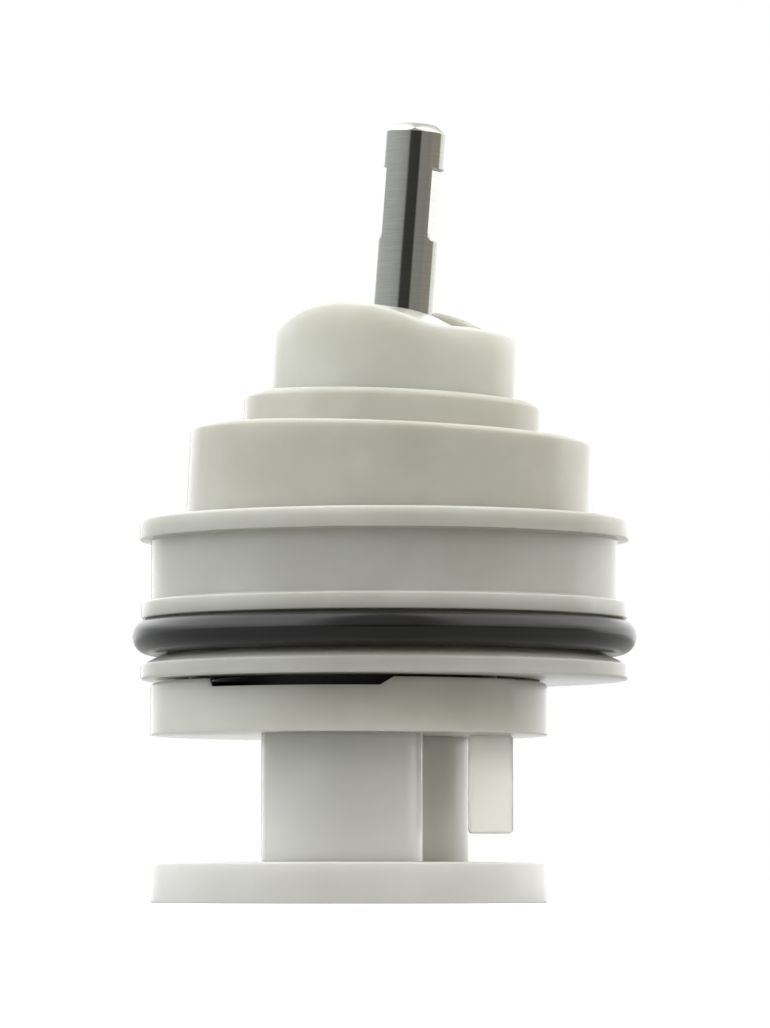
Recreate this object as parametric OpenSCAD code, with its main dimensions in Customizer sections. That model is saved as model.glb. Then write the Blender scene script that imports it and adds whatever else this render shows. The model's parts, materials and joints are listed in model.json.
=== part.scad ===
// Lever-operated diverter cartridge. A steel stem tilts in a turret, and the turret turns in a bonnet.
// Turning picks one of the two outlets and tilting meters the flow, by a ceramic disc that slides on
// another. The base sits off the axis of the body. The bonnet has play in the body ring, and it and
// all that it carries sit with a slight lean, which the gasket under the fixed disc takes up.
// Millimetres, +Z up. The origin is on the body ring's axis, level with the foot of the bottom plate.

/* [Base] */
// Diameter of the bottom plate and of the cup
base_d = 33.8; // [33.6:0.1:35]
// Distance of the base's axis from the body ring's axis
base_offset = 3; // [2.8:0.1:3.2]
// Thickness of the bottom plate
plate_t = 3.45; // [3.2:0.05:4]
// Clear height between the bottom plate and the cup
neck_h = 10.75; // [10:0.25:14]
// Height of the cup
cup_h = 4.5; // [4.3:0.05:4.6]
// Outer diameter of each port tube
tube_d = 13.5; // [13.4:0.1:13.8]
// Diameter of each port in the bottom plate
port_d = 10; // [9:0.1:10]

/* [Body ring] */
// Gap between the cup and the body ring
base_gap = 0.2; // [0.1:0.05:0.3]
// Diameter of the upper flange
flange_d = 41.7; // [41.5:0.1:41.9]
// Diameter of the band between the upper flange and the rib
band_d = 39.7; // [39.5:0.1:40]
// Height of the body ring
ring_h = 13.6; // [13.5:0.05:13.8]
// Section diameter of the body ring's O-ring
cord_d = 3; // [2.9:0.05:3]

/* [Bonnet] */
// Diameter of the bonnet's lower tier
bonnet_d = 34.4; // [34:0.1:34.6]
// Diameter of the bonnet's upper tier
collar_d = 25.4; // [25:0.1:28]
// Height of the lower tier's top above the body ring
tier_h = 7.3; // [7.2:0.1:7.6]
// Height of the upper tier
collar_h = 3.1; // [3:0.1:3.6]
// Lean of the bonnet in the body ring, in degrees
lean = 2.4; // [0:0.1:2.4]

/* [Turret and stem] */
// Diameter of the turret's neck
turret_d = 20.9; // [20.5:0.1:21]
// Height of the turret's crest above the bonnet
crest_h = 7.9; // [7.5:0.1:9]
// Turn of the turret from the middle of its travel, in degrees
turret_turn = 28; // [-50:1:50]
// Travel of the turret to each side, in degrees
turn_limit = 50; // [50:1:55]
// Diameter of the stem
stem_d = 5.2; // [4.8:0.1:5.2]
// Length of the stem above its pivot
stem_reach = 32.1; // [28:0.1:36]
// Tilt of the stem in the turret, in degrees
stem_tilt = 2.1; // [-14:0.1:14]
// Travel of the stem to each side, in degrees
tilt_limit = 14; // [10:1:14]

/* [Hidden] */
$fn = 96;

// Heights of the base and of the body ring
edge = 0.3;
running = 0.05;
floor_t = 2.2;
cup_z = plate_t + neck_h;
ring_z = cup_z + cup_h + base_gap;
ring_top = ring_z + ring_h;
base_r = base_d / 2;

// Ports: the tubes stand in shallow seats in the plate and in the cup's floor
front_port = [-3.55, -7];
rear_port = [0.55, 7];
port_r = port_d / 2;
tube_r = tube_d / 2;
tube_bore_r = port_r + 0.4;
plate_seat = 0.8;
cup_seat = 1;
seal_cord_r = 0.68;
seal_ring_r = 6.3;
seal_groove_w = 1.4;
seal_groove_h = 1.5;

// Key lug under the cup
lug_x = 7.15;
lug_size = [3.75, 4.4];
lug_drop = 8.3;

// The stack of seals and discs, a little off the body ring's axis
stack_x = -1.85;
pocket_r = 13;
carrier_r = pocket_r - 0.1;
carrier_top = ring_z + 0.4;
gasket_r = carrier_r - 0.3;
disc_ports = [[-2.9, -6.2], [0.3, 6.2]];
disc_port_r = 2.6;
seal_port_r = 3;
inlet_r = 1.9;
inlet_from = -9;
inlet_to = -0.5;

// Shallow channel straight across the cup's rim, between two distances along X
notch_from = -14.3;
notch_to = 0.4;
notch_h = 0.72;

// Pins between the cup and the body ring
pin_r = 0.55;
pin_circle_r = 15.6;
pin_angles = [-145, -40.6, 40.6, 145];
pin_depth = 1.8;

// Body ring
ring_floor_t = 0.7;
flange_r = flange_d / 2;
band_r = band_d / 2;
low_flange_r = 20.75;
low_flange_t = 1.3;
groove_z = ring_z + 2.15;
groove_h = cord_d + running;
groove_r = 18.45;
groove_lip = 0.5;
rib_r = 20.7;
rib_h = 1.4;
rib_top = groove_z + groove_h + rib_h;
flange_t = 1.7;
seat_r = 16;
ring_bore_r = bonnet_d / 2 + 0.55;

// Snap ring that holds the bonnet down with play
wire_r = 0.7;
wire_ring_r = ring_bore_r - 0.15;
wire_z = rib_top + 3.5;
wire_angle = 338;
bonnet_groove_r = 16.3;
bonnet_groove_play = 0.85;

// Bonnet and what turns in it, at their heights before they lean
lean_z = 25;
bonnet_r = bonnet_d / 2;
collar_r = collar_d / 2;
turret_r = turret_d / 2;
skirt_z = 20.7;
skirt_r = 15.4;
cavity_r = 14.2;
shoulder_z = rib_top + 0.85;
tier_z = ring_top + tier_h;
tier_wall = 1.6;
cavity_top = tier_z - tier_wall;
collar_z = tier_z + collar_h;
tier_draft = 0.05;
tier_edge = 0.25;

// Discs and carriage
fixed_z = 20.4;
fixed_t = 2.5;
fixed_r = 14;
tab_w = 2.8;
tab_r = 15.2;
tab_play = 0.1;
tab_angle = 45;
film = 0.05;
moving_z = fixed_z + fixed_t + film;
moving_t = 1.9;
moving_r = 10.4;
chamber_depth = 0.9;
chamber_r = 2.9;
lobe_r = 2.2;
lobe_reach = 6.2;
lobe_angle = 90 - turn_limit;
carriage_z = moving_z + moving_t;
carriage_top = 28.6;
well_z = carriage_z + 0.5;
rail_size = [12, 1.6, 1.3];
rail_y = 6.5;
rail_play = 0.2;

// Turret
turret_z = carriage_top + 0.1;
turret_base_r = 13.9;
base_top = cavity_top - 1.2;
neck_groove_r = 9.25;
neck_groove_z = cavity_top + 1.5;
neck_groove_h = 1.4;
neck_cord_r = 0.6;
crest_z = collar_z + crest_h;
vault_r = 14.2;
vault_slope = 2.8;
crown_drop = 2.2;
rim_inset = 0.4;
slot_w = stem_d + 0.4;
slot_play = 0.3;

// Stop pin, and the groove that it runs in
stop_r = 0.9;
stop_ring_r = 12.6;
stop_depth = 1;
stop_groove_r = stop_ring_r - stop_r - 0.3;
stop_groove_z = base_top - 1.6;
stop_half_angle = turn_limit + asin(stop_r / stop_ring_r) + 0.5;

// Stem, at distances from its pivot
pivot_z = 34.5;
pivot_r = 1;
pivot_half = 9;
stem_r = stem_d / 2;
stem_bottom = -4.5;
spigot_r = 1.4;
spigot_bottom = -8.2;
ball_z = -7;
ball_r = 2.1;
well_r = ball_r + 0.08;
head_h = 3.75;
head_chamfer = [0.75, 0.65];
waist_r = stem_r - 0.17;
flat_h = 6.25;
flat_x = 2;
flat_ramp = 0.6;
flat_turn = 15.5;
ball_shift = ball_z * sin(stem_tilt);

// The head's frame leans about a point low on the axis
module in_head() {
    translate([0, 0, lean_z]) rotate([0, lean, 0]) translate([0, 0, -lean_z]) children();
}

// The turret's frame has the stem's tilt along X and its pivot along Y
module in_turret() {
    in_head() rotate([0, 0, -turret_turn]) children();
}

// The stem's frame has its origin on the pivot and Z along the stem
module in_stem() {
    in_turret() translate([0, 0, pivot_z]) rotate([0, stem_tilt, 0]) children();
}

// The carriage's frame follows the ball on the stem's foot
module in_carriage() {
    in_turret() translate([ball_shift, 0, 0]) children();
}

// Upright disc with chamfered edges
module disc(r, z, h, chamfer) {
    translate([0, 0, z]) rotate_extrude()
        polygon([
            [0, 0], [r - chamfer, 0], [r, chamfer],
            [r, h - chamfer], [r - chamfer, h], [0, h]
        ]);
}

// Ring of rectangular section
module ring(inner_r, outer_r, z, h) {
    translate([0, 0, z]) rotate_extrude() translate([inner_r, 0]) square([outer_r - inner_r, h]);
}

// Round hole or pin at each of a list of places
module rounds(places, r, z, h) {
    for (place = places) translate([place.x, place.y, z]) cylinder(r = r, h = h);
}

// Straight channel with round ends along X
module channel(from_x, to_x, r, z, h) {
    rounds([[from_x, 0], [to_x, 0]], r, z, h);
    translate([from_x, -r, z]) cube([to_x - from_x, 2 * r, h]);
}

// Groove and seal around a port
module port_seal(port) {
    color("dimgray") translate([port.x, port.y, seal_cord_r + 0.05]) rotate_extrude()
        translate([seal_ring_r, 0]) circle(r = seal_cord_r, $fn = 32);
}

module port_tube(port) {
    top = cup_z + cup_seat;
    bottom = plate_t - plate_seat;
    color("gainsboro") translate([port.x, port.y, 0]) ring(tube_bore_r, tube_r, bottom, top - bottom);
}

module bottom_plate() {
    color("whitesmoke") difference() {
        translate([-base_offset, 0, 0]) disc(base_r, 0, plate_t, edge);
        rounds([front_port, rear_port], port_r, -1, plate_t + 2);
        rounds([front_port, rear_port], tube_r, plate_t - plate_seat, plate_t);
        for (port = [front_port, rear_port]) translate([port.x, port.y, 0])
            ring(seal_ring_r - seal_groove_w / 2, seal_ring_r + seal_groove_w / 2, -1, seal_groove_h + 1);
    }
}

module front_port_seal() {
    port_seal(front_port);
}

module rear_port_seal() {
    port_seal(rear_port);
}

module front_tube() {
    port_tube(front_port);
}

module rear_tube() {
    port_tube(rear_port);
}

// Lug below the cup, with a tenon of the same section in the cup's floor
module lug_block() {
    translate([lug_x, -lug_size.y / 2, cup_z - lug_drop])
        cube([lug_size.x, lug_size.y, lug_drop + cup_seat]);
}

module key_lug() {
    color("cornsilk") lug_block();
}

// Places of the pins between the cup and the body ring
function pin_places() = [
    for (angle = pin_angles) [pin_circle_r * cos(angle) - base_offset, pin_circle_r * sin(angle)]
];

module pin_cylinders() {
    bottom = cup_z + cup_h - pin_depth;
    rounds(pin_places(), pin_r, bottom, ring_z + ring_floor_t - bottom);
}

module locating_pins() {
    color("white") pin_cylinders();
}

module port_cup() {
    color("whitesmoke") difference() {
        translate([-base_offset, 0, 0]) disc(base_r, cup_z, cup_h, edge);
        translate([stack_x, 0, cup_z + floor_t]) cylinder(r = pocket_r, h = cup_h);
        rounds([front_port, rear_port], port_r, cup_z - 1, cup_h);
        rounds([front_port, rear_port], tube_r, cup_z - 1, cup_seat + 1);
        rounds([[inlet_from, 0]], inlet_r, cup_z - 1, cup_h);
        translate([notch_from, -base_r, cup_z + cup_h - notch_h])
            cube([notch_to - notch_from, base_d, notch_h + 1]);
        lug_block();
        pin_cylinders();
    }
}

module seal_carrier() {
    bottom = cup_z + floor_t;
    color([0.1, 0.1, 0.1]) difference() {
        translate([stack_x, 0, bottom]) cylinder(r = carrier_r, h = carrier_top - bottom);
        rounds(disc_ports, seal_port_r, bottom - 1, cup_h);
        channel(inlet_from, inlet_to, inlet_r, bottom - 1, cup_h);
    }
}

module disc_gasket() {
    color([0.15, 0.15, 0.15]) difference() {
        translate([stack_x, 0, carrier_top]) cylinder(r = gasket_r, h = 3);
        rounds(disc_ports, seal_port_r, carrier_top - 1, 5);
        channel(inlet_from, inlet_to, inlet_r, carrier_top - 1, 5);
        in_head() translate([0, 0, fixed_z]) cylinder(r = base_r, h = 5);
    }
}

module body_ring() {
    floor_z = ring_z + ring_floor_t;
    color("gainsboro") difference() {
        rotate_extrude() polygon([
            [0, ring_z], [low_flange_r - edge, ring_z], [low_flange_r, ring_z + edge],
            [low_flange_r, ring_z + low_flange_t], [groove_r + groove_lip, groove_z], [groove_r, groove_z],
            [groove_r, groove_z + groove_h], [rib_r, groove_z + groove_h], [rib_r, rib_top],
            [band_r, rib_top], [band_r, ring_top - flange_t], [flange_r, ring_top - flange_t],
            [flange_r, ring_top - edge], [flange_r - edge, ring_top], [ring_bore_r, ring_top],
            [ring_bore_r, rib_top], [seat_r, rib_top], [seat_r, floor_z], [0, floor_z]
        ]);
        translate([stack_x, 0, ring_z - 1]) cylinder(r = pocket_r + 0.1, h = ring_floor_t + 2);
        ring(ring_bore_r - 1, wire_ring_r + wire_r + running, wire_z - wire_r - running, 2 * (wire_r + running));
        pin_cylinders();
    }
}

module main_o_ring() {
    color([0.08, 0.08, 0.08]) translate([0, 0, groove_z + groove_h / 2]) rotate_extrude()
        translate([groove_r + running + cord_d / 2, 0]) circle(d = cord_d, $fn = 48);
}

module snap_ring() {
    color("silver") translate([0, 0, wire_z]) rotate([0, 0, 90 + (360 - wire_angle) / 2])
        rotate_extrude(angle = wire_angle) translate([wire_ring_r, 0]) circle(r = wire_r, $fn = 32);
}

// Tabs of the fixed disc, or with some play the slots for them
module tabs(play, z, h) {
    rotate([0, 0, tab_angle]) translate([-tab_r - play, -tab_w / 2 - play, z])
        cube([2 * (tab_r + play), tab_w + 2 * play, h]);
}

module bonnet() {
    groove_play = wire_r + bonnet_groove_play;
    color("gainsboro") in_head() difference() {
        rotate_extrude() polygon([
            [cavity_r, skirt_z], [skirt_r, skirt_z], [skirt_r, shoulder_z],
            [bonnet_r + tier_draft, shoulder_z],
            [bonnet_r + tier_draft, wire_z - groove_play], [bonnet_groove_r, wire_z - groove_play],
            [bonnet_groove_r, wire_z + groove_play], [bonnet_r + tier_draft, wire_z + groove_play],
            [bonnet_r - tier_draft, tier_z - tier_edge], [bonnet_r - tier_edge, tier_z],
            [collar_r, tier_z], [collar_r, collar_z - tier_edge], [collar_r - tier_edge, collar_z],
            [turret_r + running, collar_z], [turret_r + running, cavity_top], [cavity_r, cavity_top]
        ]);
        tabs(tab_r, skirt_z - 1, fixed_z + fixed_t + 1.2 - skirt_z);
        translate([0, stop_ring_r, cavity_top - 1]) cylinder(r = stop_r, h = stop_depth + 1);
    }
}

module fixed_disc() {
    color("white") in_head() difference() {
        union() {
            translate([0, 0, fixed_z]) cylinder(r = fixed_r, h = fixed_t);
            tabs(0, fixed_z, fixed_t);
        }
        rounds(concat(disc_ports, [[inlet_to, 0]]), inlet_r, fixed_z - 1, fixed_t + 2);
        rounds(disc_ports, disc_port_r, fixed_z - 1, fixed_t + 2);
    }
}

module stop_pin() {
    color("silver") in_head() translate([0, stop_ring_r, stop_groove_z + 0.3])
        cylinder(r = stop_r, h = cavity_top + stop_depth - stop_groove_z - 0.3);
}

module thrust_washer() {
    color("ivory") in_head() difference() {
        ring(turret_r + 0.35, cavity_r - 0.2, base_top + 0.1, 1);
        translate([0, stop_ring_r, base_top]) cylinder(r = stop_r + 0.1, h = 2);
    }
}

// The chamber joins the inlet to a lobe on each side, and one lobe at a time meets an outlet
module moving_disc() {
    color("white") in_carriage() difference() {
        translate([0, 0, moving_z]) cylinder(r = moving_r, h = moving_t);
        translate([0, 0, moving_z - 1]) {
            cylinder(r = chamber_r, h = chamber_depth + 1);
            for (side = [-1, 1]) rotate([0, 0, side * lobe_angle])
                channel(0, lobe_reach, lobe_r, 0, chamber_depth + 1);
        }
    }
}

module carriage() {
    color("khaki") in_carriage() {
        difference() {
            translate([0, 0, carriage_z]) cylinder(r = moving_r, h = carriage_top - carriage_z);
            translate([0, 0, well_z]) cylinder(r = well_r, h = carriage_top);
        }
        for (side = [-1, 1]) translate([-rail_size.x / 2, side * rail_y - rail_size.y / 2, carriage_top])
            cube(rail_size);
    }
}

// Half of the slot's length at a height from the pivot, with room for the tilted stem
function slot_half(height) = stem_r / cos(tilt_limit) + slot_play + abs(height) * tan(tilt_limit);

module stem_slot() {
    bottom = turret_z - 1;
    top = crest_z + 1;
    low = slot_half(bottom - pivot_z);
    waist = slot_half(0);
    high = slot_half(top - pivot_z);
    rotate([90, 0, 0]) linear_extrude(slot_w, center = true)
        polygon([[-low, bottom], [low, bottom], [waist, pivot_z], [high, top], [-high, top], [-waist, pivot_z]]);
}

// What is taken off above the turret's crown: a vault between flat shoulders. The vault rises to the
// back and has a chamfer at its ends.
module above_crown() {
    size = 4 * turret_r;
    spare = 2;
    difference() {
        translate([0, 0, crest_z]) rotate([vault_slope, 0, 0]) {
            difference() {
                translate([-size / 2, -size / 2, -vault_r]) cube([size, size, vault_r + 2 * spare]);
                translate([0, 0, -vault_r]) rotate([90, 0, 0])
                    cylinder(r = vault_r, h = 2 * size, center = true, $fn = 180);
            }
            rotate_extrude() polygon([
                [turret_r + spare, -rim_inset - spare], [turret_r + spare, spare],
                [turret_r - rim_inset - spare, spare]
            ]);
        }
        translate([-size / 2, -size / 2, turret_z]) cube([size, size, crest_z - crown_drop - turret_z]);
    }
}

module turret() {
    rail_room = (rail_size.x + 2 * abs(ball_z)) / 2;
    color("gainsboro") in_turret() difference() {
        rotate_extrude() polygon([
            [0, turret_z], [turret_base_r, turret_z], [turret_base_r, base_top], [turret_r, base_top],
            [turret_r, neck_groove_z], [neck_groove_r, neck_groove_z],
            [neck_groove_r, neck_groove_z + neck_groove_h], [turret_r, neck_groove_z + neck_groove_h],
            [turret_r, crest_z + 1], [0, crest_z + 1]
        ]);
        above_crown();
        stem_slot();
        translate([0, -pivot_half, pivot_z]) rotate([-90, 0, 0]) cylinder(r = pivot_r, h = 2 * turret_d);
        rotate([0, 0, 90 - stop_half_angle]) rotate_extrude(angle = 2 * stop_half_angle)
            translate([stop_groove_r, stop_groove_z]) square([turret_r, turret_r]);
        for (side = [-1, 1])
            translate([-rail_room, side * rail_y - rail_size.y / 2 - rail_play / 2, turret_z - 1])
                cube([2 * rail_room, rail_size.y + rail_play, rail_size.z + 1.2]);
    }
}

module turret_o_ring() {
    color([0.08, 0.08, 0.08]) in_turret() translate([0, 0, neck_groove_z + neck_groove_h / 2])
        rotate_extrude() translate([neck_groove_r + neck_cord_r + 0.02, 0]) circle(r = neck_cord_r, $fn = 32);
}

module pivot_pin() {
    color("silver") in_turret() translate([0, -pivot_half, pivot_z]) rotate([-90, 0, 0])
        cylinder(r = pivot_r, h = 2 * pivot_half);
}

// Bar with a chamfered head above a waist with two flats, which end in ramps
module stem() {
    head_z = stem_reach - head_h;
    flat_z = head_z - flat_h;
    color("lightsteelblue") in_stem() difference() {
        rotate_extrude() polygon([
            [0, spigot_bottom], [spigot_r, spigot_bottom], [spigot_r, stem_bottom],
            [stem_r, stem_bottom], [stem_r, flat_z], [waist_r, flat_z + flat_ramp], [waist_r, head_z], [stem_r, head_z],
            [stem_r, stem_reach - head_chamfer.y], [stem_r - head_chamfer.x, stem_reach], [0, stem_reach]
        ]);
        for (side = [0, 180]) rotate([90, 0, flat_turn + side]) linear_extrude(2 * stem_d, center = true)
            polygon([
                [flat_x, head_z], [stem_d, head_z], [stem_d, flat_z],
                [flat_x + flat_ramp, flat_z], [flat_x, flat_z + flat_ramp]
            ]);
        rotate([90, 0, 0]) cylinder(r = pivot_r + running, h = 2 * stem_d, center = true);
    }
}

module ball_bush() {
    color("khaki") in_stem() difference() {
        translate([0, 0, ball_z]) sphere(r = ball_r);
        translate([0, 0, spigot_bottom]) cylinder(r = spigot_r, h = stem_d);
    }
}

bottom_plate();
front_port_seal();
rear_port_seal();
front_tube();
rear_tube();
key_lug();
port_cup();
seal_carrier();
disc_gasket();
locating_pins();
body_ring();
main_o_ring();
snap_ring();
bonnet();
fixed_disc();
stop_pin();
thrust_washer();
moving_disc();
carriage();
turret();
turret_o_ring();
pivot_pin();
stem();
ball_bush();
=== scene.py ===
"""Looks of a lever diverter cartridge: milky acetal mouldings, a ground steel stem and black rubber rings.

Everything is in metres in the CAD frame. Outlines are written in millimetres and scaled by MM. The head
of the cartridge leans a little, so its pieces are made upright and then placed by a matrix that comes
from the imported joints.
"""
import json
import math

import bmesh
import bpy
from mathutils import Matrix, Vector


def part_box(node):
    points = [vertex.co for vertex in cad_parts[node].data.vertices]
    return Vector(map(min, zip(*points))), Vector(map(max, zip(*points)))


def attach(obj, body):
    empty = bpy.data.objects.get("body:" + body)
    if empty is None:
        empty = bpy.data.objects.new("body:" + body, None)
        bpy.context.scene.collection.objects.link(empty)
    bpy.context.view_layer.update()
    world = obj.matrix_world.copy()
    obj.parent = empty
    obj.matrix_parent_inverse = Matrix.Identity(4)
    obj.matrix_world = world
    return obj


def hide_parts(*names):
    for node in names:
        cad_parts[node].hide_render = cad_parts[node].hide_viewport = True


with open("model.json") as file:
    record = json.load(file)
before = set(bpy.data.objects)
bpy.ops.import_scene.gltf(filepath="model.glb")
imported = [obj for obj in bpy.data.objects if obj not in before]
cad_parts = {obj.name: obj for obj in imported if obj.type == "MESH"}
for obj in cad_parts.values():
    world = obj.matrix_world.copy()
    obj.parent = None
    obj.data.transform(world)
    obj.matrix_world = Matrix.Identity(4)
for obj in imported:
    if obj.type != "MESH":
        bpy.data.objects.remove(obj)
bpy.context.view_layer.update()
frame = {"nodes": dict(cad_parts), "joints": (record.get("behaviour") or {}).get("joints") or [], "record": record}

MM = 0.001
ROUND_SEGMENTS = 256
FILLET_STEPS = 5
SMOOTH_ANGLE = math.radians(32)
# Points closer than this many millimetres become one
MERGE_DISTANCE = 1e-5
# A radius below this many millimetres lies on the axis of a lathe
ON_AXIS = 1e-6
# Moulding seams run up the two sides. A seam is this wide to each side, in radians, and stands this proud
SIDE_SEAMS = (math.radians(4), math.radians(184))
SEAM_HALF = 0.004
SEAM_H = 0.035


# ---------------------------------------------------------------- places taken from the frame

def box_mm(node):
    """Lowest and highest corners of a CAD node in millimetres."""
    low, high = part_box(node)
    return [v / MM for v in low], [v / MM for v in high]


def joint(name):
    return next(j for j in frame["joints"] if j["name"] == name)


def mount(name):
    return next(m for m in frame["record"]["mounts"] if m["name"] == name)


def axes_matrix(x_axis, y_axis, z_axis, origin):
    """Matrix whose columns are the three axes, with its origin given in metres."""
    columns = [Vector(x_axis), Vector(y_axis), Vector(z_axis)]
    turn = Matrix([[c[i] for c in columns] for i in range(3)]).to_4x4()
    return Matrix.Translation(Vector(origin)) @ turn


# Height of the stem's pivot on the head's own axis, before the head leans
PIVOT_Z = 34.5
pivot = Vector(joint("stem_tilt")["pos_m"])
turn_axis = Vector(joint("turret_turn")["axis"])
tilt_axis = Vector(joint("stem_tilt")["axis"])
slide_axis = Vector(joint("carriage_slide")["axis"])
stem_axis = Vector(mount("stem_head")["axis"])

to_axis_foot = Matrix.Translation((0, 0, -PIVOT_Z * MM))
TURRET = axes_matrix(slide_axis, tilt_axis, turn_axis, pivot) @ to_axis_foot
lean_x = Vector((0, 1, 0)).cross(turn_axis)
HEAD = axes_matrix(lean_x, (0, 1, 0), turn_axis, pivot) @ to_axis_foot
STEM = axes_matrix(tilt_axis.cross(stem_axis), tilt_axis, stem_axis, pivot)


# ---------------------------------------------------------------- mesh tools

def fillet(corners):
    """Closed outline from (r, z, radius) corners, with each corner rounded to its radius."""
    outline = []
    count = len(corners)
    for i, (r, z, radius) in enumerate(corners):
        corner = Vector((r, z))
        before = Vector(corners[i - 1][:2]) - corner
        after = Vector(corners[(i + 1) % count][:2]) - corner
        if radius <= 0:
            outline.append((r, z))
            continue
        before.normalize()
        after.normalize()
        half = before.angle(after) / 2
        reach = radius / math.tan(half)
        centre = corner + (before + after).normalized() * (radius / math.sin(half))
        start = corner + before * reach - centre
        end = corner + after * reach - centre
        sweep = math.atan2(start.x * end.y - start.y * end.x, start.dot(end))
        for step in range(FILLET_STEPS + 1):
            turn = sweep * step / FILLET_STEPS
            c, s = math.cos(turn), math.sin(turn)
            outline.append((centre.x + c * start.x - s * start.y, centre.y + s * start.x + c * start.y))
    return outline


def make_object(name, bm, place=Matrix.Identity(4)):
    """Object from a bmesh in millimetres, placed by a matrix in metres and shaded smooth up to an angle."""
    bmesh.ops.remove_doubles(bm, verts=bm.verts, dist=MERGE_DISTANCE)
    bmesh.ops.dissolve_degenerate(bm, edges=bm.edges, dist=MERGE_DISTANCE)
    bmesh.ops.recalc_face_normals(bm, faces=bm.faces)
    bm.transform(place @ Matrix.Scale(MM, 4))
    mesh = bpy.data.meshes.new(name)
    bm.to_mesh(mesh)
    bm.free()
    mesh.shade_smooth()
    mesh.set_sharp_from_angle(angle=SMOOTH_ANGLE)
    obj = bpy.data.objects.new(name, mesh)
    bpy.context.scene.collection.objects.link(obj)
    return obj


def angle_gap(a, b):
    """Signed angle from b to a, between -pi and pi."""
    return (a - b + math.pi) % (2 * math.pi) - math.pi


def turn_angles(seams=()):
    """Even angles round a circle, with closer ones on each moulding seam."""
    angles = [2 * math.pi * i / ROUND_SEGMENTS for i in range(ROUND_SEGMENTS)]
    for seam in seams:
        angles = [a for a in angles if abs(angle_gap(a, seam)) > 3 * SEAM_HALF]
        angles += [(seam + k * SEAM_HALF) % (2 * math.pi) for k in (-2, -1, 0, 1, 2)]
    return sorted(angles)


def lathe(name, outline, place=Matrix.Identity(4), centre=(0, 0), seams=()):
    """Solid of revolution of a closed outline of (r, z) points, with a fine proud line at each seam."""
    bm = bmesh.new()
    rings = []
    for a in turn_angles(seams):
        on_seam = any(abs(angle_gap(a, seam)) < SEAM_HALF / 2 for seam in seams)
        lift = SEAM_H if on_seam else 0
        ring = []
        for r, z in outline:
            reach = r + lift if r > ON_AXIS else r
            ring.append(bm.verts.new((centre[0] + reach * math.cos(a), centre[1] + reach * math.sin(a), z)))
        rings.append(ring)
    count = len(outline)
    for i, ring in enumerate(rings):
        following = rings[(i + 1) % len(rings)]
        for j in range(count):
            k = (j + 1) % count
            if outline[j][0] < ON_AXIS and outline[k][0] < ON_AXIS:
                continue
            bm.faces.new((ring[j], following[j], following[k], ring[k]))
    return make_object(name, bm, place)


def loft(name, rings, place=Matrix.Identity(4)):
    """Solid through rings of equally many points, closed by a flat cap at each end."""
    bm = bmesh.new()
    rows = [[bm.verts.new(p) for p in ring] for ring in rings]
    for low, high in zip(rows, rows[1:]):
        for j in range(len(low)):
            k = (j + 1) % len(low)
            bm.faces.new((low[j], low[k], high[k], high[j]))
    bm.faces.new(rows[0][::-1])
    bm.faces.new(rows[-1])
    return make_object(name, bm, place)


def apply_modifiers(obj):
    """Replace the mesh of an object by its modified mesh."""
    graph = bpy.context.evaluated_depsgraph_get()
    mesh = bpy.data.meshes.new_from_object(obj.evaluated_get(graph))
    obj.modifiers.clear()
    obj.data = mesh
    mesh.shade_smooth()
    mesh.set_sharp_from_angle(angle=SMOOTH_ANGLE)


def cut(obj, cutters):
    """Take each cutter away from the object, and delete the cutters."""
    for cutter in cutters:
        modifier = obj.modifiers.new("cut", "BOOLEAN")
        modifier.operation = "DIFFERENCE"
        modifier.solver = "EXACT"
        modifier.object = cutter
    apply_modifiers(obj)
    for cutter in cutters:
        bpy.data.objects.remove(cutter)


def block(name, low, high, radius):
    """Box with rounded edges."""
    bm = bmesh.new()
    bmesh.ops.create_cube(bm, size=1)
    size = [b - a for a, b in zip(low, high)]
    middle = [(a + b) / 2 for a, b in zip(low, high)]
    bm.transform(Matrix.Translation(middle) @ Matrix.Diagonal((*size, 1)))
    bmesh.ops.bevel(bm, geom=bm.edges, offset=radius, segments=4, profile=0.5, affect="EDGES")
    return make_object(name, bm)


# ---------------------------------------------------------------- materials

def node_tools(tree):
    """Short hands for a node tree: add a node with its values, and join a source to a target."""
    def add(kind, **values):
        node = tree.nodes.new(kind)
        for key, value in values.items():
            if key in node.inputs:
                node.inputs[key].default_value = value
            else:
                setattr(node, key, value)
        return node

    def join(source, target):
        tree.links.new(source, target)

    return add, join


def new_material(name):
    """Node material with only a Principled shader, and the short hands for its tree."""
    material = bpy.data.materials.new(name)
    material.use_nodes = True
    tree = material.node_tree
    add, join = node_tools(tree)
    return material, tree.nodes["Principled BSDF"], add, join


def noise(add, join, where, scale, detail, rough):
    """Noise texture at a scale in cycles to the metre."""
    texture = add("ShaderNodeTexNoise", Scale=scale, Detail=detail, Roughness=rough)
    join(where, texture.inputs["Vector"])
    return texture.outputs["Fac"]


def ramp(add, join, source, stops):
    """Colour ramp from a list of (position, colour)."""
    node = add("ShaderNodeValToRGB")
    elements = node.color_ramp.elements
    while len(elements) < len(stops):
        elements.new(0.5)
    for element, (position, colour) in zip(elements, stops):
        element.position = position
        element.color = (*colour, 1)
    join(source, node.inputs["Fac"])
    return node.outputs["Color"]


def span(add, join, source, low, high):
    """Map a 0 to 1 value onto low to high."""
    node = add("ShaderNodeMapRange", **{"To Min": low, "To Max": high})
    join(source, node.inputs["Value"])
    return node.outputs["Result"]


def bump(add, join, height, strength, distance, below=None):
    """Normal of a relief of this depth in metres, on top of the normal of another relief below it."""
    node = add("ShaderNodeBump", Strength=strength, Distance=distance)
    join(height, node.inputs["Height"])
    if below:
        join(below, node.inputs["Normal"])
    return node.outputs["Normal"]


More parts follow.
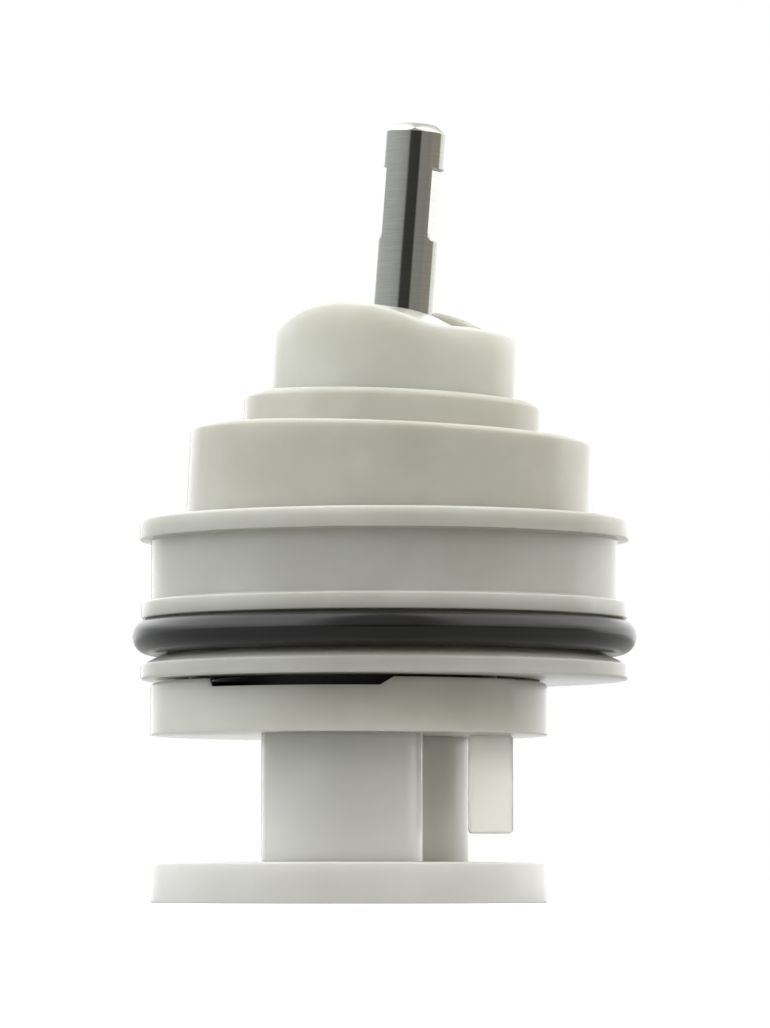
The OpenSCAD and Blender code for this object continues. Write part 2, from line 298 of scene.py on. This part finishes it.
def acetal(name, pale, deep, depth_mm=1.6, through=0.0):
    """Milky moulded plastic: light scatters inside it, flow clouds tint it, and the skin is finely pebbled.
    Thin pieces also let a share of the light through."""
    material, shader, add, join = new_material(name)
    where = add("ShaderNodeTexCoord").outputs["Object"]
    clouds = noise(add, join, where, scale=120, detail=4.0, rough=0.55)
    join(ramp(add, join, clouds, [(0.3, deep), (0.72, pale)]), shader.inputs["Base Color"])
    skin = noise(add, join, where, scale=1400, detail=3.0, rough=0.6)
    join(span(add, join, skin, low=0.12, high=0.22), shader.inputs["Roughness"])
    shader.inputs["Subsurface Weight"].default_value = 0.85
    shader.inputs["Subsurface Radius"].default_value = (1.0, 0.96, 0.86)
    shader.inputs["Subsurface Scale"].default_value = depth_mm * MM
    shader.inputs["Transmission Weight"].default_value = through
    shader.inputs["IOR"].default_value = 1.48
    waves = noise(add, join, where, scale=260, detail=2.0, rough=0.4)
    wavy = bump(add, join, waves, strength=0.2, distance=0.06 * MM)
    pebbled = bump(add, join, skin, strength=0.08, distance=0.02 * MM, below=wavy)
    join(pebbled, shader.inputs["Normal"])
    return material


def rubber(name, colour, rough=(0.16, 0.26)):
    """Moulded black rubber with a soft sheen, a dusty bloom and a fine grain."""
    material, shader, add, join = new_material(name)
    where = add("ShaderNodeTexCoord").outputs["Object"]
    bloom = noise(add, join, where, scale=180, detail=5.0, rough=0.6)
    dusty = tuple(c * 1.6 + 0.002 for c in colour)
    join(ramp(add, join, bloom, [(0.35, colour), (0.8, dusty)]), shader.inputs["Base Color"])
    join(span(add, join, bloom, *rough), shader.inputs["Roughness"])
    grain = noise(add, join, where, scale=2600, detail=2.0, rough=0.5)
    join(bump(add, join, grain, strength=0.15, distance=0.03 * MM), shader.inputs["Normal"])
    shader.inputs["IOR"].default_value = 1.52
    return material


def steel(name, colour):
    """Centreless-ground stainless steel: fine rings round the bar, a speckle and patches of sheen."""
    material, shader, add, join = new_material(name)
    shader.inputs["Metallic"].default_value = 1.0
    where = add("ShaderNodeTexCoord").outputs["Object"]
    stretch = add("ShaderNodeMapping", Scale=(0.12, 0.12, 6.0))
    join(where, stretch.inputs["Vector"])
    rings = noise(add, join, stretch.outputs["Vector"], scale=2400, detail=3.0, rough=0.65)
    patches = noise(add, join, where, scale=420, detail=4.0, rough=0.6)
    join(span(add, join, patches, low=0.06, high=0.14), shader.inputs["Roughness"])
    lighter = tuple(c * 1.18 for c in colour)
    join(ramp(add, join, rings, [(0.3, colour), (0.7, lighter)]), shader.inputs["Base Color"])
    speckle = noise(add, join, where, scale=5200, detail=2.0, rough=0.6)
    ground = bump(add, join, rings, strength=0.10, distance=0.012 * MM)
    speckled = bump(add, join, speckle, strength=0.10, distance=0.012 * MM, below=ground)
    join(speckled, shader.inputs["Normal"])
    return material


def ceramic(name, pale, deep):
    """Lapped alumina: near white, hard and finely speckled."""
    material, shader, add, join = new_material(name)
    where = add("ShaderNodeTexCoord").outputs["Object"]
    speckle = noise(add, join, where, scale=900, detail=4.0, rough=0.6)
    join(ramp(add, join, speckle, [(0.3, deep), (0.7, pale)]), shader.inputs["Base Color"])
    join(span(add, join, speckle, low=0.12, high=0.25), shader.inputs["Roughness"])
    return material


MATERIALS = {
    "natural_acetal": acetal("natural acetal", (0.76, 0.77, 0.72), (0.68, 0.68, 0.62), depth_mm=4),
    "clear_acetal": acetal("clear acetal", (0.99, 0.97, 0.89), (0.96, 0.93, 0.83), depth_mm=5, through=0.1),
    "warm_acetal": acetal("warm acetal", (0.67, 0.67, 0.61), (0.58, 0.57, 0.51)),
    "grey_acetal": acetal("grey acetal", (0.62, 0.63, 0.60), (0.55, 0.55, 0.51), depth_mm=3),
    "white_acetal": acetal("white acetal", (0.88, 0.88, 0.87), (0.82, 0.82, 0.80)),
    "cream_acetal": acetal("cream acetal", (0.93, 0.92, 0.86), (0.88, 0.87, 0.80), depth_mm=8, through=0.6),
    "black_plastic": rubber("black plastic", (0.012, 0.012, 0.011), rough=(0.35, 0.5)),
    "black_rubber": rubber("black rubber", (0.005, 0.005, 0.006)),
    "ceramic": ceramic("lapped ceramic", (0.88, 0.88, 0.86), (0.78, 0.77, 0.73)),
    "steel": steel("ground steel", (0.50, 0.505, 0.48)),
}


def dress(obj, slot):
    """Give a new piece the material of a slot."""
    obj.data.materials.clear()
    obj.data.materials.append(MATERIALS[slot])


def stand_for(obj, node, body, slot):
    """A new piece takes the place of a CAD node on its body."""
    dress(obj, slot)
    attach(obj, body)
    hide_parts(node)


# ---------------------------------------------------------------- sizes, in millimetres

base_low, base_high = box_mm("bottom_plate")
cup_low, cup_high = box_mm("port_cup")
ring_low, ring_high = box_mm("body_ring")
tube_low, tube_high = box_mm("front_tube")
carrier_low, carrier_high = box_mm("seal_carrier")
BASE_R = (base_high[0] - base_low[0]) / 2
BASE_X = (base_high[0] + base_low[0]) / 2
PLATE_T = base_high[2]
TUBE_R = (tube_high[0] - tube_low[0]) / 2
TUBE_Z = tube_low[2]
TUBE_TOP = tube_high[2]
CUP_Z = cup_low[2]
CUP_TOP = cup_high[2]
RING_Z = ring_low[2]
RING_TOP = ring_high[2]
FLANGE_R = (ring_high[0] - ring_low[0]) / 2
# Middle of the stack of discs
STACK_X = (carrier_low[0] + carrier_high[0]) / 2
# Heights in the head's own frame, before it leans
TIER_Z = 39.8
COLLAR_Z = 42.9
CREST_Z = 50.8
TURRET_Z = 28.7
TURRET_BASE_TOP = 37.0

PORTS = {"front": mount("front_port"), "rear": mount("rear_port")}
PORT_R = PORTS["front"]["dims"]["r_mm"]
STEM_R = mount("stem_head")["dims"]["r_mm"]
STEM_TILT = math.radians(14)
# How far a cutter stands past the face that it opens
OVER = 1.0


def port_place(side):
    """X and Y of a port's axis."""
    x, y, _ = PORTS[side]["pos_m"]
    return x / MM, y / MM


# ---------------------------------------------------------------- base

def make_tube(side):
    """Port tube, a little wider inside than its port."""
    clearance = 0.4
    node = side + "_tube"
    low, high = box_mm(node)
    outer = (high[0] - low[0]) / 2
    inner = PORT_R + clearance
    outline = fillet([
        (inner, low[2], 0.1), (outer, low[2], 0.15), (outer, high[2], 0.15), (inner, high[2], 0.1),
    ])
    obj = lathe(node + "_wall", outline, centre=port_place(side), seams=SIDE_SEAMS)
    stand_for(obj, node, "housing", "clear_acetal")


def port_cutter(name, side, outline):
    """Round cutter on the axis of a port."""
    return lathe(name, outline, centre=port_place(side))


def make_plate():
    """Round plate with a chamfered port and a seal's groove for each tube, which stands in a socket."""
    chamfer, chamfer_reach = 0.25, 0.9
    seal_inner, seal_outer, seal_h, seal_corner = 5.6, 7.0, 1.5, 0.15
    outline = fillet([(0, 0, 0), (BASE_R, 0, 0.15), (BASE_R, PLATE_T, 0.2), (0, PLATE_T, 0)])
    obj = lathe("bottom_plate_skin", outline, centre=(BASE_X, 0), seams=SIDE_SEAMS)
    port = [
        (0, -OVER), (PORT_R + chamfer_reach, -OVER), (PORT_R + chamfer, 0), (PORT_R, chamfer),
        (PORT_R, TUBE_Z), (TUBE_R, TUBE_Z), (TUBE_R, PLATE_T + OVER), (0, PLATE_T + OVER),
    ]
    groove = fillet([
        (seal_inner, -OVER, 0), (seal_outer, -OVER, 0),
        (seal_outer, seal_h, seal_corner), (seal_inner, seal_h, seal_corner),
    ])
    cutters = []
    for side in PORTS:
        cutters.append(port_cutter("port", side, port))
        cutters.append(port_cutter("groove", side, groove))
    cut(obj, cutters)
    stand_for(obj, "bottom_plate", "housing", "white_acetal")


def rim_channel():
    """Cutter for the shallow channel straight across the cup's rim, which has sloping ends."""
    left, right, depth = -14.3, -0.35, 0.72
    left_lean, right_lean = 0.35, 1.6
    bottom = CUP_TOP - depth
    rise = depth + OVER
    outline = [
        (left, bottom), (right, bottom),
        (right + right_lean * rise, bottom + rise), (left - left_lean * rise, bottom + rise),
    ]
    return loft("channel", [[(x, y, z) for x, z in outline] for y in (-BASE_R - OVER, BASE_R + OVER)])


def make_cup():
    """Cup under the gap, with a pocket for the discs, a channel across its rim and the two ports."""
    pocket_r, floor_t = 13.0, 2.2
    rim = fillet([(0, CUP_Z, 0), (BASE_R, CUP_Z, 0.12), (BASE_R, CUP_TOP, 0.5), (0, CUP_TOP, 0)])
    obj = lathe("port_cup_skin", rim, centre=(BASE_X, 0), seams=SIDE_SEAMS)
    floor_z = CUP_Z + floor_t
    pocket = [(0, floor_z), (pocket_r, floor_z), (pocket_r, CUP_TOP + OVER), (0, CUP_TOP + OVER)]
    port = [
        (0, CUP_Z - OVER), (TUBE_R, CUP_Z - OVER), (TUBE_R, TUBE_TOP), (PORT_R, TUBE_TOP),
        (PORT_R, CUP_TOP + OVER), (0, CUP_TOP + OVER),
    ]
    cutters = [lathe("pocket", pocket, centre=(STACK_X, 0)), rim_channel()]
    cutters += [port_cutter("port", side, port) for side in PORTS]
    cut(obj, cutters)
    stand_for(obj, "port_cup", "housing", "natural_acetal")


def make_lug():
    """Block between the plate and the cup, which stops just under the cup."""
    clearance, corner = 0.002, 0.3
    low, high = box_mm("key_lug")
    high[2] = CUP_Z - clearance
    obj = block("key_lug_block", low, high, corner)
    stand_for(obj, "key_lug", "housing", "cream_acetal")


# ---------------------------------------------------------------- body ring

def make_body_ring():
    """Wide ring of a lower flange, an O-ring's groove, a rib, a band and an upper flange."""
    lower_r, rib_r, band_r = 20.75, 20.7, 19.85
    lower_t, rib_t, upper_t, floor_t = 1.3, 1.4, 1.7, 0.7
    groove_r, groove_from, groove_h, groove_run, groove_step = 18.45, 2.15, 3.05, 0.5, 0.05
    hole_r, seat_r, bore_r = 13.3, 16.0, 17.75
    groove_z = RING_Z + groove_from
    groove_top = groove_z + groove_h
    rib_top = groove_top + rib_t
    upper_z = RING_TOP - upper_t
    floor_z = RING_Z + floor_t
    outline = fillet([
        (hole_r, RING_Z, 0), (lower_r, RING_Z, 0.25), (lower_r, RING_Z + lower_t, 0.2),
        (groove_r + groove_run, groove_z, 0.15), (groove_r, groove_z + groove_step, 0.05),
        (groove_r, groove_top, 0.15), (rib_r, groove_top, 0.1), (rib_r, rib_top, 0.15),
        (band_r, rib_top, 0.2), (band_r, upper_z, 0.2), (FLANGE_R, upper_z, 0.1),
        (FLANGE_R, RING_TOP, 0.25), (bore_r, RING_TOP, 0.25), (bore_r, rib_top, 0),
        (seat_r, rib_top, 0.2), (seat_r, floor_z, 0), (hole_r, floor_z, 0),
    ])
    obj = lathe("body_ring_skin", outline, seams=SIDE_SEAMS)
    stand_for(obj, "body_ring", "housing", "grey_acetal")


def make_o_ring():
    """Round cord with a fine line of flash on its outer and inner side."""
    steps, flash = 64, 0.02
    low, high = box_mm("main_o_ring")
    outer = (high[0] - low[0]) / 2
    cord = (high[2] - low[2]) / 2
    middle = (high[2] + low[2]) / 2
    outline = []
    for i in range(steps):
        a = 2 * math.pi * i / steps
        r = cord + (flash if i in (0, steps // 2) else 0)
        outline.append((outer - cord - flash + r * math.cos(a), middle + r * math.sin(a)))
    obj = lathe("main_o_ring_body", outline)
    stand_for(obj, "main_o_ring", "housing", "black_rubber")


# ---------------------------------------------------------------- head

def make_bonnet():
    """Two tiers over a skirt, in one moulding with a cavity for the turret's base."""
    tier_r, collar_r, skirt_r, cavity_r, bore_r = 17.2, 12.7, 15.4, 14.2, 10.5
    skirt_z, shoulder_z, roof_t, draft = 20.7, 26.35, 1.6, 0.05
    roof_z = TIER_Z - roof_t
    outline = fillet([
        (cavity_r, skirt_z, 0.1), (skirt_r, skirt_z, 0.2), (skirt_r, shoulder_z, 0.1),
        (tier_r + draft, shoulder_z, 0.2), (tier_r - draft, TIER_Z, 0.45), (collar_r, TIER_Z, 0.15),
        (collar_r, COLLAR_Z, 0.6), (bore_r, COLLAR_Z, 0.15), (bore_r, roof_z, 0), (cavity_r, roof_z, 0.2),
    ])
    obj = lathe("bonnet_skin", outline, HEAD, seams=SIDE_SEAMS)
    stand_for(obj, "bonnet", "housing", "warm_acetal")


TURRET_R = 10.45
VAULT_R = 14.2
VAULT_SLOPE = math.tan(math.radians(2.8))
# Width over which the vault's arch blends into its flat shoulders
VAULT_BLEND = 0.25
SHOULDER_Z = CREST_Z - 2.2
RIM = 0.4


def vault(x, y):
    """Height of the turret's crown, a vault across X that rises to the back between flat shoulders."""
    settle = 0.005
    arch = CREST_Z - VAULT_R + math.sqrt(VAULT_R ** 2 - x * x) + VAULT_SLOPE * y
    return (arch + SHOULDER_Z + math.hypot(arch - SHOULDER_Z, VAULT_BLEND)) / 2 - settle


def crown(x, y):
    """Height of the turret's top with its rounded rim, a hair under the full vault."""
    hair = 0.01
    t = max(0.0, (math.hypot(x, y) - TURRET_R + RIM) / RIM)
    return vault(x, y) - RIM * (1 - math.sqrt(max(0.0, 1 - t * t))) - hair


def make_turret():
    """Turret on its wider base: each bearing is a row of points from the foot's middle to the crown's."""
    base_r, base_edge = 13.9, 0.3
    wall_steps, rim_steps, top_steps = 6, 6, 40
    flat_r = TURRET_R - RIM
    foot = [
        (0, TURRET_Z), (base_r - base_edge, TURRET_Z), (base_r, TURRET_Z + base_edge),
        (base_r, TURRET_BASE_TOP - base_edge), (base_r - base_edge, TURRET_BASE_TOP),
        (TURRET_R, TURRET_BASE_TOP),
    ]
    radii = [flat_r + RIM * math.cos(math.pi / 2 * k / rim_steps) for k in range(rim_steps + 1)]
    radii += [flat_r * (1 - k / top_steps) for k in range(1, top_steps + 1)]
    bm = bmesh.new()
    rows = []
    for a in turn_angles(SIDE_SEAMS):
        c, s = math.cos(a), math.sin(a)
        wall_h = crown(TURRET_R * c, TURRET_R * s) - TURRET_BASE_TOP
        row = list(foot)
        row += [(TURRET_R, TURRET_BASE_TOP + wall_h * k / wall_steps) for k in range(1, wall_steps)]
        row += [(r, crown(r * c, r * s)) for r in radii]
        rows.append([bm.verts.new((r * c, r * s, z)) for r, z in row])
    for i, row in enumerate(rows):
        following = rows[(i + 1) % len(rows)]
        for j in range(len(row) - 1):
            bm.faces.new((row[j], following[j], following[j + 1], row[j + 1]))
    obj = make_object("turret_skin", bm)
    cut(obj, [slot_cutter()])
    obj.data.transform(TURRET)
    stand_for(obj, "turret", "turret", "natural_acetal")


def slot_cutter():
    """Wedge that opens the stem's slot, flared where it meets the vault."""
    side_gap, end_gap, flare = 0.2, 0.3, 0.25
    bottom, straight_top, proud = 28.0, 46.0, 0.02
    half_w = STEM_R + side_gap
    crown_near = CREST_Z - 0.5
    stations = 25

    def reach(z):
        """Half length of the slot at a height: the stem's own reach there at full tilt, and a gap."""
        return STEM_R / math.cos(STEM_TILT) + end_gap + abs(z - PIVOT_Z) * math.tan(STEM_TILT)

    rings = []
    for i in range(stations):
        t = -1 + 2 * i / (stations - 1)
        ring = []
        for side, y in ((-1, -half_w), (1, half_w)):
            points = [(t * reach(z), y, z) for z in (bottom, PIVOT_Z, straight_top)]
            top = vault(t * reach(crown_near), y)
            wide = t * (reach(top) + flare)
            points.append((t * reach(top - flare), y, top - flare))
            points.append((wide, y + side * flare, top + proud))
            points.append((wide, y + side * (flare + OVER), top + 2 * OVER))
            ring += points if side > 0 else points[::-1]
        rings.append(ring)
    return loft("slot", rings)


# ---------------------------------------------------------------- stem

def make_stem():
    """Bar with a chamfered head above two flats, which end in ramps, and a thin foot for the ball."""
    reach, head_h, flat_h = 32.1, 3.75, 6.25
    flat_x, ramp_h = 2.0, 0.6
    chamfer_in, chamfer_h, brow = 0.75, 0.65, 0.06
    foot_z, foot_r, shank_z, edge = -8.2, 1.4, -4.5, 0.1
    flat_turn = math.radians(15.5)
    points = 192
    # Distance of the extra stations that keep shading from running over an edge
    soft = 0.04
    top_r = STEM_R - chamfer_in
    chamfer_z = reach - chamfer_h
    head_z = reach - head_h
    flat_z = head_z - flat_h
    # height, radius, and distance of the flats from the axis
    stations = [
        (foot_z, foot_r - edge, STEM_R), (foot_z + edge, foot_r, STEM_R), (shank_z, foot_r, STEM_R),
        (shank_z, STEM_R - edge, STEM_R), (shank_z + edge, STEM_R, STEM_R),
        (flat_z - soft, STEM_R, STEM_R), (flat_z, STEM_R, STEM_R),
        (flat_z + ramp_h, STEM_R, flat_x), (flat_z + ramp_h + soft, STEM_R, flat_x),
        (head_z - soft, STEM_R, flat_x), (head_z, STEM_R, flat_x), (head_z, STEM_R, STEM_R - soft),
        (head_z + soft, STEM_R, STEM_R), (head_z + 2 * soft, STEM_R, STEM_R),
        (chamfer_z - 3 * soft, STEM_R, STEM_R), (chamfer_z - 2 * soft, STEM_R, STEM_R),
        (chamfer_z, STEM_R - soft, STEM_R), (reach - brow, top_r + edge, STEM_R),
        (reach, top_r - brow, STEM_R),
    ]
    c, s = math.cos(flat_turn), math.sin(flat_turn)
    rings = []
    for z, radius, flat in stations:
        ring = []
        for i in range(points):
            a = 2 * math.pi * i / points
            x = max(-flat, min(flat, radius * math.cos(a)))
            y = radius * math.sin(a)
            ring.append((c * x - s * y, s * x + c * y, z))
        rings.append(ring)
    obj = loft("stem_bar", rings, STEM)
    stand_for(obj, "stem", "lever", "steel")


# ---------------------------------------------------------------- scene

def dress_cad_nodes():
    """Carried-over CAD nodes keep their shape and get the material of their slot."""
    slots = {row["node"]: row["material_slot"] for row in frame["record"]["subparts"]}
    for name, obj in frame["nodes"].items():
        material = MATERIALS[slots[name]]
        if not obj.material_slots:
            obj.data.materials.append(material)
        for slot in obj.material_slots:
            slot.material = material


# Light of the studio, as colours by bearing in degrees and strengths by height from -1 to 1: its walls, the
# soft boxes above them and the glow of the floor. Bearing 0 is towards the camera, and 90 to its right
WALLS = [
    (-180, (1.7, 1.7, 1.7)), (-152, (1.2, 1.2, 1.2)), (-140, (0.66, 0.67, 0.67)),
    (-60, (0.53, 0.54, 0.53)), (-26, (0.42, 0.42, 0.41)), (-18, (0.06, 0.06, 0.055)),
    (18, (0.05, 0.05, 0.045)), (24, (0.34, 0.33, 0.31)), (60, (0.32, 0.31, 0.29)),
    (66, (0.38, 0.35, 0.30)), (108, (0.40, 0.37, 0.31)), (113, (1.2, 1.2, 1.18)),
    (150, (1.4, 1.4, 1.39)), (180, (1.7, 1.7, 1.7)),
]
WALL_HEIGHTS = [(-0.08, 0.0), (0.0, 1.0), (0.25, 1.0), (0.45, 0.0)]
BOXES = [
    (-180, (1.0, 1.0, 1.0)), (-150, (1.9, 1.92, 1.92)), (-45, (2.2, 2.22, 2.2)),
    (-25, (0.55, 0.55, 0.52)), (25, (0.5, 0.48, 0.44)), (42, (1.75, 1.71, 1.62)),
    (112, (2.0, 1.98, 1.92)), (150, (1.0, 1.0, 1.0)), (180, (1.0, 1.0, 1.0)),
]
BOX_HEIGHTS = [(0.2, 0.0), (0.4, 1.0)]
GLOW = [
    (-180, (0.55, 0.55, 0.54)), (-40, (0.52, 0.52, 0.5)), (-30, (0.45, 0.45, 0.42)),
    (30, (0.45, 0.44, 0.41)), (40, (0.52, 0.51, 0.48)), (180, (0.55, 0.55, 0.54)),
]
GLOW_HEIGHTS = [(-0.08, 1.0), (0.0, 0.0)]
WHITE = (1, 1, 1, 1)


def make_floor():
    """Plain pale floor. It glows a little so that it stays white, and the world stands in for its light."""
    bm = bmesh.new()
    bmesh.ops.create_circle(bm, cap_ends=True, segments=64, radius=3000)
    obj = make_object("floor", bm)
    material, shader, add, join = new_material("pale floor")
    where = add("ShaderNodeTexCoord").outputs["Object"]
    mottle = noise(add, join, where, scale=6, detail=3.0, rough=0.5)
    greys = [(0.3, (0.86, 0.86, 0.86)), (0.7, (0.9, 0.9, 0.9))]
    join(ramp(add, join, mottle, greys), shader.inputs["Base Color"])
    shader.inputs["Roughness"].default_value = 0.9
    shader.inputs["Emission Color"].default_value = WHITE
    shader.inputs["Emission Strength"].default_value = 0.75
    obj.data.materials.append(material)
    obj.visible_diffuse = False
    obj.visible_glossy = False
    obj.visible_transmission = False


def make_world():
    """White studio: dark round the camera, soft walls and boxes on both sides and strong light behind the
    object. Its lower half stands in for light from the floor."""
    world = bpy.data.worlds.new("studio")
    bpy.context.scene.world = world
    world.use_nodes = True
    tree = world.node_tree
    tree.nodes.clear()
    add, join = node_tools(tree)

    def put(node, index, value):
        """Join a socket to an input, or set the input to a value."""
        if isinstance(value, bpy.types.NodeSocket):
            join(value, node.inputs[index])
        else:
            node.inputs[index].default_value = value

    def computed(kind, operation, *values):
        node = add(kind, operation=operation)
        for index, value in enumerate(values):
            put(node, index, value)
        return node.outputs[0]

    def calculate(operation, *values):
        return computed("ShaderNodeMath", operation, *values)

    def combined(operation, *colours):
        return computed("ShaderNodeVectorMath", operation, *colours)

    split = add("ShaderNodeSeparateXYZ")
    put(split, 0, add("ShaderNodeTexCoord").outputs["Generated"])
    x, y, z = split.outputs
    # Bearing from 0 to 1: a half is towards the camera at -Y, and three quarters is towards +X
    bearing = calculate("ARCTAN2", x, calculate("MULTIPLY", y, -1.0))
    turns = calculate("ADD", calculate("DIVIDE", bearing, 2 * math.pi), 0.5)
    height = calculate("ADD", calculate("MULTIPLY", z, 0.5), 0.5)

    def lit(by_bearing, by_height):
        """Light of one part of the studio, from its colours by bearing and its strengths by height."""
        around = ramp(add, join, turns, [((degrees + 180) / 360, colour) for degrees, colour in by_bearing])
        strength = ramp(add, join, height, [((h + 1) / 2, (level,) * 3) for h, level in by_height])
        return combined("MULTIPLY", around, strength)

    studio = add("ShaderNodeBackground")
    walls_and_boxes = combined("ADD", lit(WALLS, WALL_HEIGHTS), lit(BOXES, BOX_HEIGHTS))
    put(studio, 0, combined("ADD", walls_and_boxes, lit(GLOW, GLOW_HEIGHTS)))
    backdrop = add("ShaderNodeBackground")
    put(backdrop, 0, WHITE)
    pick = add("ShaderNodeMixShader")
    put(pick, 0, add("ShaderNodeLightPath").outputs["Is Camera Ray"])
    put(pick, 1, studio.outputs[0])
    put(pick, 2, backdrop.outputs[0])
    put(add("ShaderNodeOutputWorld"), 0, pick.outputs[0])


def make_camera():
    """Long lens just above the floor, looking slightly up."""
    distance, eye_x, eye_z = 0.467, 0.00004, 0.00204
    look_up = math.radians(3.81)
    camera = bpy.data.cameras.new("camera")
    camera.sensor_fit = "VERTICAL"
    camera.sensor_height = 24
    camera.lens = 127.938
    camera.clip_start = 0.01
    camera.clip_end = 50
    obj = bpy.data.objects.new("camera", camera)
    obj.location = (eye_x, -distance, eye_z)
    obj.rotation_euler = (math.pi / 2 + look_up, 0, 0)
    bpy.context.scene.collection.objects.link(obj)
    bpy.context.scene.camera = obj


make_camera()
make_world()
make_floor()
dress_cad_nodes()
make_plate()
for port_side in PORTS:
    make_tube(port_side)
make_lug()
make_cup()
make_body_ring()
make_o_ring()
make_bonnet()
make_turret()
make_stem()

bpy.context.scene.view_settings.view_transform = "Standard"
bpy.context.view_layer.update()
